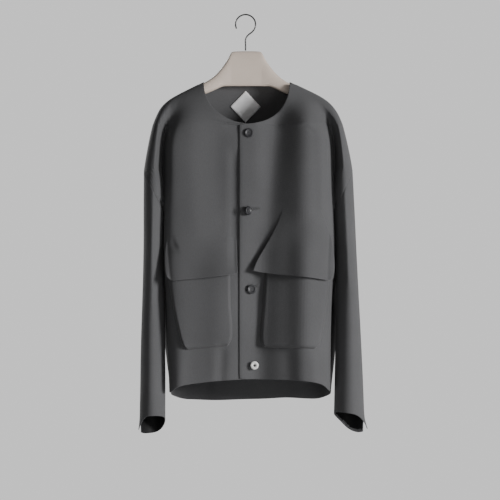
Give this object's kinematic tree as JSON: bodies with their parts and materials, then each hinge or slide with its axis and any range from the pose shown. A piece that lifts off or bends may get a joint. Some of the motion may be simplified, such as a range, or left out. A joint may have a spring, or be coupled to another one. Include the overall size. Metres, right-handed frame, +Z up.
{
  "type": "collarless blouson on a hanger",
  "caption": "Collarless buttoned blouson with wide pocket flaps, patch pockets and slit cuffs, hung on a contoured hanger with a wire hook.",
  "frame": {"origin": "inside top of the hanger's hook, where a rail carries it", "axes": "+Z up, +X to the viewer's right, the front faces -Y"},
  "size_m": [0.4626, 0.2053, 0.8639],
  "materials": {
    "cloth": "matte",
    "button_dark": "satin",
    "button_pale": "gloss",
    "label": "matte",
    "hanger": "satin",
    "wire": "satin"
  },
  "bodies": {
    "root": {"front_under": "cloth", "front_over": "cloth", "back": "cloth", "sleeve_left": "cloth", "sleeve_right": "cloth", "flap_left": "cloth", "flap_right": "cloth", "pocket_left": "cloth", "pocket_right": "cloth", "label": "label", "hanger": "hanger", "hook": "wire", "button_1": "button_dark", "button_2": "button_dark", "button_3": "button_dark", "button_4": "button_pale"}
  },
  "joints": []
}
